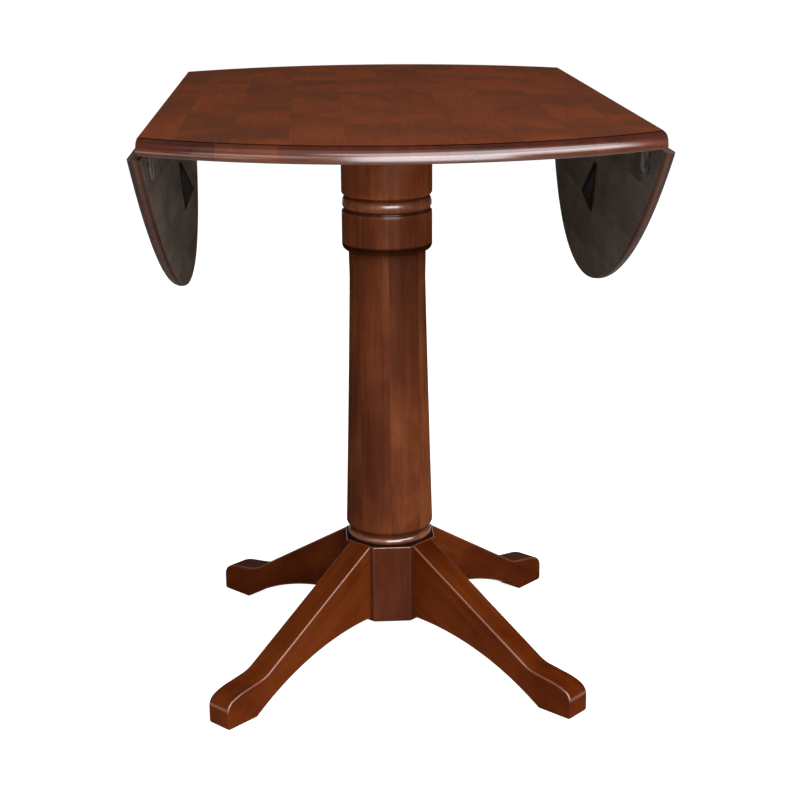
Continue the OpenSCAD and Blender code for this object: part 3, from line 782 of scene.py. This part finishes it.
def noise(tree, place, scale, detail=3.0, roughness=0.5, distortion=0.0):
    """A Noise texture at a place. Returns its factor."""
    inputs = {"Vector": place, "Scale": scale, "Detail": detail, "Roughness": roughness,
              "Distortion": distortion}
    return place_node(tree, "TexNoise", inputs).outputs["Fac"]


def ramp(tree, factor, stops):
    """A Color Ramp with stops of position and colour. Returns its colour."""
    node = place_node(tree, "ValToRGB", {"Fac": factor})
    while len(node.color_ramp.elements) < len(stops):
        node.color_ramp.elements.new(0.5)
    for element, (position, colour) in zip(node.color_ramp.elements, stops):
        element.position = position
        element.color = colour
    return node.outputs["Color"]


def between(tree, value, low, high):
    """Maps a value smoothly from 0 at low to 1 at high."""
    inputs = {"Value": value, "From Min": low, "From Max": high}
    return place_node(tree, "MapRange", inputs, interpolation_type="SMOOTHSTEP").outputs["Result"]


def mix(tree, factor, a, b):
    """Mixes two colours: inputs 6 and 7 and output 2 are the Mix node's colour sockets. Returns the colour."""
    return place_node(tree, "Mix", {"Factor": factor, 6: a, 7: b}, data_type="RGBA").outputs[2]


def attribute(tree, name, output="Fac"):
    """A named attribute of the mesh. Returns one of its outputs."""
    return place_node(tree, "Attribute", attribute_name=name).outputs[output]


print("node helpers ready")

# %% [markdown]
# ## Glued staves
# A wide board is glued from strips, and the strips from shorter blocks. A Brick texture could draw them, but
# it keeps its blocks' numbers to itself. The group numbers each block, turns the number into a random tone,
# shifts the figure so that no two blocks match, and marks the glue lines.

# %% Stave group
def new_group(name, inputs, outputs):
    """An empty shader node group with named sockets. Returns it with what it is given and its output node."""
    group = bpy.data.node_groups.new(name, "ShaderNodeTree")
    for in_out, sockets in (("INPUT", inputs), ("OUTPUT", outputs)):
        for label, kind in sockets.items():
            group.interface.new_socket(label, in_out=in_out, socket_type="NodeSocket" + kind)
    return group, group.nodes.new("NodeGroupInput").outputs, group.nodes.new("NodeGroupOutput")


def stave_group(stagger=5.0, shift=(2.0, 0.7, 0.9)):
    """Row is the place across over the stave width, rounded down; a random shift by row staggers the blocks;
    block is the shifted place along over the block length, rounded down; tone is noise of both."""
    group, given, out = new_group(
        "glued_staves", {"Place": "Vector", "Width": "Float", "Length": "Float", "Line": "Float"},
        {"Tone": "Float", "Seam": "Float", "Shifted": "Vector"})
    parts = place_node(group, "SeparateXYZ", {0: given["Place"]})
    across = math(group, "DIVIDE", parts.outputs["Y"], given["Width"])
    row = math(group, "FLOOR", across)
    row_noise = place_node(group, "TexWhiteNoise", {"W": row}, noise_dimensions="1D").outputs["Value"]
    along = math(group, "ADD", math(group, "DIVIDE", parts.outputs["X"], given["Length"]),
                 math(group, "MULTIPLY", row_noise, stagger))
    cell = place_node(group, "CombineXYZ", {"X": row, "Y": math(group, "FLOOR", along)}).outputs[0]
    cell_noise = place_node(group, "TexWhiteNoise", {"Vector": cell}, noise_dimensions="3D")
    moved = vector_math(group, "MULTIPLY", cell_noise.outputs["Color"], shift)
    seams = []
    for share, size in ((across, given["Width"]), (along, given["Length"])):
        part = math(group, "FRACT", share)
        edge = math(group, "MULTIPLY", math(group, "MINIMUM", part, math(group, "SUBTRACT", 1.0, part)), size)
        seams.append(math(group, "SUBTRACT", 1.0, between(group, edge, 0.0, given["Line"])))
    feed_all(group, out, {"Tone": cell_noise.outputs["Value"], "Seam": math(group, "MAXIMUM", *seams),
                          "Shifted": vector_math(group, "ADD", given["Place"], moved)})
    return group


STAVES = stave_group()
print("staves:", [s.name for s in STAVES.interface.items_tree])

# %% [markdown]
# ## Figure and pores
# A diffuse hardwood shows broad soft bands, finer streaks along the grain and short dark pores. A Wave
# texture would give even rings, as in pine. So each is noise, squeezed across the grain by its own amount.

# %% Figure group
BAND_SQUEEZE = (2.2, 22.0, 22.0)
STREAK_SQUEEZE = (9.0, 210.0, 210.0)
PORE_SQUEEZE = (60.0, 1500.0, 1500.0)
BLOTCH_SCALE = 5.5


def figure_group():
    """Bands are noise of the place stretched along the grain, bent by a slower noise; streaks and pores are
    the same at finer and finer squeezes; blotches are noise that isn't stretched."""
    group, given, out = new_group(
        "hardwood_figure", {"Place": "Vector", "Spread": "Float"},
        {"Bands": "Float", "Streaks": "Float", "Pores": "Float", "Blotch": "Float"})
    place = given["Place"]
    base = place_node(group, "VectorMath", {0: place, "Scale": given["Spread"]}, operation="SCALE").outputs[0]

    def squeezed(amounts, *settings):
        return noise(group, vector_math(group, "MULTIPLY", base, amounts), 1.0, *settings)

    feed_all(group, out, {
        "Bands": between(group, squeezed(BAND_SQUEEZE, 4.0, 0.55, 0.7), 0.28, 0.72),
        "Streaks": between(group, squeezed(STREAK_SQUEEZE, 3.0, 0.6, 0.2), 0.3, 0.7),
        "Pores": between(group, squeezed(PORE_SQUEEZE, 1.0), 0.56, 0.7),
        "Blotch": between(group, noise(group, place, BLOTCH_SCALE, 3.0, 0.55, 0.4), 0.35, 0.65)})
    return group


FIGURE = figure_group()
print("figure:", [s.name for s in FIGURE.interface.items_tree])

# %% [markdown]
# ## Stained and lacquered wood
# The stain lies thicker in some blocks than in others. Over it comes a satin lacquer. A glossy base would
# whiten the stain wherever it mirrors a lamp. So the base has no gloss, and the lacquer is a coat on the
# shader, full only on the eased arrises, where the stain is also lightened, as wear and as painted sheen.

# %% Stained wood material
STOPS = (0.05, 0.5, 0.95)
ONE_PIECE = 1000.0      # a block length that no piece reaches
GLUE_LINE = 0.0005
PORE_SHARE, PORE_SHADE, SEAM_SHADE = 0.35, 0.35, 0.4
PAINTED_SHADE_SHARE, PAINTED_SHADE_DARK = 0.92, 0.25
WOOD_RELIEF, METAL_RELIEF = 0.0004, 0.0001


def new_material(name):
    """An empty node material. Returns it with its tree and its shader."""
    material = bpy.data.materials.new(name)
    material.use_nodes = True
    tree = material.node_tree
    tree.nodes.clear()
    shader = tree.nodes.new("ShaderNodeBsdfPrincipled")
    output = tree.nodes.new("ShaderNodeOutputMaterial")
    tree.links.new(shader.outputs["BSDF"], output.inputs["Surface"])
    return material, tree, shader


def shade(colour, share=1.0):
    """A colour times a share, with its alpha."""
    return (*[c * share for c in colour], 1)


def relief(tree, shader, height, strength, distance):
    """Bumps the shader's normal by a height."""
    bump = place_node(tree, "Bump", {"Strength": strength, "Distance": distance, "Height": height})
    tree.links.new(bump.outputs["Normal"], shader.inputs["Normal"])


def stained_wood(name, dark, mid, light, stave, length=ONE_PIECE, seam=0.3, tone=0.25, rough=(0.34, 0.46),
                 coat=0.025, shine=1.0, coat_ior=1.7, coat_rough=0.14, rub_and_sheen=0.0, rub_and_sheen_colour=(0.42, 0.16, 0.07),
                 bump=0.12, place=None, spread=1.0, weights=(0.34, 0.14, 0.34)):
    """A stained wood: its colour runs from dark through mid to light by tone, bands, streaks and blotches,
    each with its own weight. The coat's weight runs from coat on the flats to shine on the arrises."""
    material, tree, shader = new_material(name)
    where = attribute(tree, "grain_place", "Vector") if place is None else place(tree)
    block_at = {"Place": where, "Width": stave, "Length": length, "Line": GLUE_LINE}
    staves = place_node(tree, "Group", block_at, node_tree=STAVES).outputs
    figure = place_node(tree, "Group", {"Place": staves["Shifted"], "Spread": spread}, node_tree=FIGURE).outputs
    block = math(tree, "MULTIPLY", math(tree, "SUBTRACT", staves["Tone"], 0.5), tone)
    bands = math(tree, "MULTIPLY_ADD", figure["Bands"], weights[0], 0.5 - 0.5 * sum(weights))
    streaks = math(tree, "MULTIPLY_ADD", figure["Streaks"], weights[1], block)
    blotch = math(tree, "MULTIPLY_ADD", figure["Blotch"], weights[2], streaks)
    factor = math(tree, "ADD", bands, blotch, clamp=True)
    colour = ramp(tree, factor, list(zip(STOPS, map(shade, (dark, mid, light)))))
    colour = mix(tree, math(tree, "MULTIPLY", figure["Pores"], PORE_SHARE), colour, shade(dark, PORE_SHADE))
    colour = mix(tree, math(tree, "MULTIPLY", staves["Seam"], seam), colour, shade(dark, SEAM_SHADE))
    # The stain is lightened on the arrises and crests, as wear and as painted sheen.
    worn_and_sheen = math(tree, "MULTIPLY", attribute(tree, "ease"), rub_and_sheen)
    patchy = math(tree, "MULTIPLY_ADD", figure["Blotch"], 0.5, 0.5)
    colour = mix(tree, math(tree, "MULTIPLY", worn_and_sheen, patchy), colour, shade(rub_and_sheen_colour))
    # Painted shade: the colour goes towards a dark shade of the stain, and the coat thins away.
    shaded = math(tree, "MULTIPLY", attribute(tree, "hollow"), PAINTED_SHADE_SHARE)
    low, high = rough
    polish = math(tree, "MULTIPLY_ADD", attribute(tree, "ease"), shine - coat, coat, clamp=True)
    unshaded_share = math(tree, "SUBTRACT", 1.0, attribute(tree, "hollow"))
    feed_all(tree, shader, {
        "Base Color": mix(tree, shaded, colour, shade(dark, PAINTED_SHADE_DARK)),
        "Roughness": math(tree, "MULTIPLY_ADD", figure["Streaks"], high - low, low), "Specular IOR Level": 0.0,
        "Coat Weight": math(tree, "MULTIPLY", polish, unshaded_share), "Coat Roughness": coat_rough,
        "Coat IOR": coat_ior})
    height = math(tree, "MULTIPLY_ADD", figure["Pores"], -1.0, figure["Streaks"])
    relief(tree, shader, math(tree, "SUBTRACT", height, staves["Seam"]), bump, WOOD_RELIEF)
    return material


print("wood material ready")

# %% [markdown]
# ## One stain for each part
# The table is stained in one colour, but the top mirrors the room, the turnings are polished, and the
# undersides are grey. One material with masks could do it all. One for each part is easier to match with the
# photograph. Slides and rails, which only show from below, are plain wood.

# %% Stains of the top and the leaves
RIM_BLOCKS = {"stave": 0.078, "length": 0.36}


def object_place(tree):
    """The place in the object's own coordinates, for the construction's nodes: their grain runs along X."""
    return place_node(tree, "TexCoord").outputs["Object"]


top_stain = stained_wood(
    "top_stain", (0.078, 0.025, 0.012), (0.106, 0.0275, 0.0105), (0.133, 0.033, 0.0125),
    stave=0.072, length=0.42, tone=0.16, seam=0.12, rough=(0.3, 0.4), coat=0.14, shine=0.14, rub_and_sheen=0.5,
    weights=(0.2, 0.28, 0.66))
edge_stain = stained_wood(
    "edge_stain", (0.0263, 0.0042, 0.0013), (0.0553, 0.0089, 0.0026), (0.0896, 0.0177, 0.0048), **RIM_BLOCKS,
    seam=0.25, rough=(0.3, 0.4), coat=1.0, coat_ior=1.85, coat_rough=0.2, rub_and_sheen=0.2,
    rub_and_sheen_colour=(0.248, 0.093, 0.0434))
leaf_edge_stain = stained_wood(
    "leaf_edge_stain", (0.011, 0.0018, 0.0009), (0.024, 0.0036, 0.0016), (0.045, 0.0098, 0.004),
    **RIM_BLOCKS, seam=0.25, rough=(0.35, 0.45), coat=0.32, shine=0.32, coat_ior=1.6, coat_rough=0.2, rub_and_sheen=0.2,
    rub_and_sheen_colour=(0.2, 0.11, 0.065))
joint_stain = stained_wood(
    "joint_edge_stain", (0.0372, 0.0236, 0.0161), (0.0775, 0.0527, 0.0372), (0.186, 0.1395, 0.1054),
    **RIM_BLOCKS, rough=(0.45, 0.6), coat=0.05, shine=0.1)
under_stain = stained_wood(
    "underside_stain", (0.068, 0.052, 0.04), (0.106, 0.082, 0.064), (0.15, 0.119, 0.093),
    **RIM_BLOCKS, tone=0.2, seam=0.4, rough=(0.55, 0.72), coat=0.0, shine=0.0, bump=0.25)
print("board stains:", [m.name for m in bpy.data.materials if m.name.endswith("stain")])

# %% Stains of the pedestal and the hidden parts
column_stain = stained_wood(
    "column_stain", (0.044, 0.0103, 0.004), (0.093, 0.0233, 0.0077), (0.164, 0.0491, 0.0158),
    stave=0.047, tone=0.34, rub_and_sheen=0.2, coat_ior=2.1, coat_rough=0.22)
# The drum's stain is lighter than the column's: painted light where the top shades the drum.
drum_stain = stained_wood(
    "drum_stain", (0.065, 0.0145, 0.0056), (0.133, 0.034, 0.0115), (0.225, 0.069, 0.022),
    stave=0.047, tone=0.34, rub_and_sheen=0.1, coat_ior=2.2, coat_rough=0.27)
hub_stain = stained_wood(
    "hub_stain", (0.034, 0.0082, 0.0036), (0.056, 0.0138, 0.0064), (0.083, 0.0225, 0.01),
    stave=0.5, tone=0.0, seam=0.0, coat=0.0, coat_ior=2.0, rub_and_sheen=0.3)
leg_stain = stained_wood(
    "leg_stain", (0.034, 0.0054, 0.0011), (0.067, 0.0115, 0.002), (0.108, 0.0225, 0.0042),
    stave=LEG_STAVE, seam=0.2, rub_and_sheen=0.45, rub_and_sheen_colour=(0.3224, 0.1388, 0.0806),
    coat_ior=1.75, spread=1.4, weights=(0.26, 0.14, 0.5))
ramp_stain = stained_wood(
    "ramp_block_stain", (0.005, 0.0036, 0.003), (0.01, 0.0074, 0.006), (0.017, 0.0128, 0.01),
    stave=0.2, tone=0.1, seam=0.0, rough=(0.42, 0.55), coat=0.0, shine=0.03, rub_and_sheen=0.1,
    rub_and_sheen_colour=(0.128, 0.096, 0.072))
runner_wood = stained_wood(
    "runner_wood", (0.2, 0.115, 0.055), (0.38, 0.24, 0.125), (0.52, 0.36, 0.21),
    stave=0.3, tone=0.2, seam=0.0, rough=(0.5, 0.65), coat=0.0, shine=0.0, bump=0.2, place=object_place)
plate_stain = stained_wood(
    "head_plate_stain", (0.024, 0.009, 0.005), (0.06, 0.021, 0.0105), (0.11, 0.042, 0.02),
    stave=0.08, tone=0.3, rough=(0.45, 0.6), coat=0.1, shine=0.1, place=object_place)
print("wood finishes:", len(bpy.data.materials))

# %% [markdown]
# ## Metals
# The hinges are plated sheet that has dulled, the screws and bolts are zinc plated. One even grey would look
# like plastic, so noise varies the roughness, with a little tarnish in the colour.

# %% Metal materials
def plated_metal(name, bright, dull, rough, grain=900.0, tarnish_scale=60.0):
    """A plated metal: tarnish blends two colours by slow noise, and fine noise varies the roughness."""
    material, tree, shader = new_material(name)
    where = object_place(tree)
    tarnish = between(tree, noise(tree, where, tarnish_scale, 4.0, 0.6, 0.3), 0.4, 0.65)
    fine = noise(tree, where, grain, 2.0)
    roughness = math(tree, "MULTIPLY_ADD", tarnish, 0.18, math(tree, "MULTIPLY_ADD", fine, 0.12, rough))
    feed_all(tree, shader, {"Base Color": mix(tree, tarnish, shade(bright), shade(dull)),
                            "Roughness": roughness, "Metallic": 1.0})
    relief(tree, shader, fine, 0.15, METAL_RELIEF)
    return material


hinge_bronze = plated_metal("hinge_bronze", (0.05, 0.036, 0.025), (0.026, 0.019, 0.014), 0.5)
zinc_steel = plated_metal("zinc_steel", (0.62, 0.63, 0.65), (0.42, 0.43, 0.45), 0.32)
print("metals ready")

# %% [markdown]
# ## Dressing the pieces
# A finisher stains a board's face, edges and underside in turn. A board could be split into a piece for each.
# With one material slot for each kind of face it stays one piece, as it is on the table.

# %% Dress every piece
def dress(piece, *materials):
    """Gives a piece these materials, in the order of its slots."""
    piece.data.materials.clear()
    for material in materials:
        piece.data.materials.append(material)


for piece in (fixed_board, leaves["left"], leaves["right"]):
    dress(piece, top_stain, under_stain, edge_stain if piece is fixed_board else leaf_edge_stain, joint_stain)
    piece.data.polygons.foreach_set("material_index", KINDS[piece.name])
    piece.data.update()
dress(upper, drum_stain)
dress(column, column_stain)
dress(hub, hub_stain)
for piece in bpy.data.objects:
    if piece.name.endswith("_shaped"):
        dress(piece, leg_stain)
    if piece.name.endswith("_ramp_block"):
        dress(piece, ramp_stain)

SLOT_FINISH = {"plain_wood": runner_wood, "dark_wood": plate_stain, "hinge_bronze": hinge_bronze,
               "zinc_steel": zinc_steel, "stained_wood": column_stain}
for part in frame["record"]["subparts"]:
    dress(frame["nodes"][part["node"]], SLOT_FINISH[part["material_slot"]])
print("every piece has a finish")

# %% [markdown]
# ## Floor
# A studio lays a pale sheet on the floor, so that only the table is looked at. Lit until it is white, it
# would lighten the undersides too. So it is plain and pale, and only what the camera sees of it is lifted.

# %% Floor
def make_floor(half=60.0):
    """A wide flat sheet at the floor's height."""
    corners = np.array([[-half, -half, 0], [half, -half, 0], [half, half, 0], [-half, half, 0]])
    floor = new_object("floor", corners, [(0, 1, 2, 3)])
    material, tree, shader = new_material("pale_floor")
    cloud = noise(tree, object_place(tree), 1.5, 2.0)
    pale = mix(tree, cloud, (0.6, 0.6, 0.6, 1), (0.62, 0.62, 0.62, 1))
    seen = place_node(tree, "LightPath").outputs["Is Camera Ray"]
    feed_all(tree, shader, {
        "Base Color": mix(tree, seen, (0.6, 0.59, 0.58, 1), pale), "Emission Strength": 1.0,
        "Emission Color": mix(tree, seen, (0, 0, 0, 1), (0.9, 0.9, 0.9, 1)), "Roughness": 0.8,
        "Specular IOR Level": 0.1})
    dress(floor, material)


make_floor()
print("floor laid")

# %% [markdown]
# ## Sky
# The studio's walls are dark and its ceiling is dim. Lacquer is a weak mirror, and what it mirrors at a low
# angle is the wall: an even bright sky would veil the stain. To the camera itself the backdrop is white.

# %% Sky
def studio_sky(high=0.45, low=0.05, start=0.74, end=0.92):
    """A sky that is dark up to a start and then rises smoothly to its full light at an end, both as heights on
    the unit sphere. Where the camera sees it, it is white."""
    world = bpy.data.worlds.new("studio_sky")
    bpy.context.scene.world = world
    world.use_nodes = True
    tree = world.node_tree
    heading = place_node(tree, "TexCoord").outputs["Generated"]
    parts = place_node(tree, "SeparateXYZ", {0: heading})
    rise = between(tree, parts.outputs["Z"], start, end)
    lighting = math(tree, "MULTIPLY_ADD", rise, high - low, low)
    seen = place_node(tree, "LightPath").outputs["Is Camera Ray"]
    hidden = math(tree, "MULTIPLY", math(tree, "SUBTRACT", 1.0, seen), lighting)
    feed_all(tree, tree.nodes["Background"], {"Strength": math(tree, "ADD", seen, hidden),
                                              "Color": (1.0, 0.99, 0.98, 1)})


studio_sky()
bpy.context.scene.view_settings.view_transform = "Standard"
print("sky set")

# %% [markdown]
# ## Lamps
# A sun would give hard shadows, so every lamp is a wide soft box. The tall one in front makes the broad
# highlight on the round edge, the high one lights the top, those at the sides shape column and legs, and a
# faint strip lights the back.

# %% Lamps
LAMP_COLOUR = (0.95, 0.97, 1.0)


def soft_lamp(name, place, target, size, brightness):
    """A rectangular area lamp at a place, turned so that it shines at a target. Its power is its brightness
    times its area times pi."""
    data = bpy.data.lights.new(name, "AREA")
    data.shape = "RECTANGLE"
    data.size, data.size_y = size
    data.color = LAMP_COLOUR
    data.energy = brightness * size[0] * size[1] * np.pi
    lamp = bpy.data.objects.new(name, data)
    bpy.context.collection.objects.link(lamp)
    lamp.location = place
    lamp.rotation_euler = (Vector(target) - Vector(place)).to_track_quat("-Z", "Y").to_euler()


soft_lamp("right_box", (2.4, -2.2, 2.5), (0, 0, 1.2), (2.4, 1.6), 4.1)
soft_lamp("front_box", (0.6, -4.0, 1.75), (0, 0, 1.1), (3.0, 3.2), 7.1)
soft_lamp("high_box", (1.1, -1.7, 3.3), (0, 0, 0.9), (4.0, 2.6), 3.8)
soft_lamp("left_box", (-2.3, -3.0, 2.6), (0, 0, 0.9), (2.4, 1.4), 1.7)
soft_lamp("left_strip", (-3.1, -2.3, 0.95), (0, 0, 0.8), (2.6, 0.5), 2.0)
soft_lamp("back_strip", (0.0, 3.2, 0.5), (0, 0, 0.6), (3.0, 0.8), 1.4)

# %% [markdown]
# ## Camera
# The camera stands in front, a little to the left and above the top, as the photographer did. A constraint
# could aim it, but place, turn and focal length were fitted to the photograph, so its axes follow from them.

# %% Camera
CAMERA_AT = np.array([-0.1155, -2.5058, 1.1834])
YAW, PITCH, ROLL = 0.0535, 0.2906, -0.0066
FOCAL_PIXELS = 1609.2
FRAME_PIXELS = 800
SENSOR = 36.0
FAR = 200


def camera_axes(yaw, pitch, roll):
    """Right, up and backward axes of a camera from its yaw off +Y, its fall below level and its roll."""
    ahead = np.array([np.sin(yaw) * np.cos(pitch), np.cos(yaw) * np.cos(pitch), -np.sin(pitch)])
    right = np.array([np.cos(yaw), -np.sin(yaw), 0])
    up = np.cross(right, ahead)
    c, s = np.cos(roll), np.sin(roll)
    return np.array([right * c + up * s, up * c - right * s, -ahead])


camera = bpy.data.objects.new("camera", bpy.data.cameras.new("camera"))
bpy.context.collection.objects.link(camera)
placing = np.eye(4)
placing[:3, :3] = camera_axes(YAW, PITCH, ROLL).T
placing[:3, 3] = CAMERA_AT
camera.matrix_world = Matrix(placing.tolist())
camera.data.sensor_width = SENSOR
camera.data.lens = FOCAL_PIXELS / FRAME_PIXELS * SENSOR
camera.data.clip_end = FAR
bpy.context.scene.camera = camera
print("lens", round(camera.data.lens, 1), "mm")
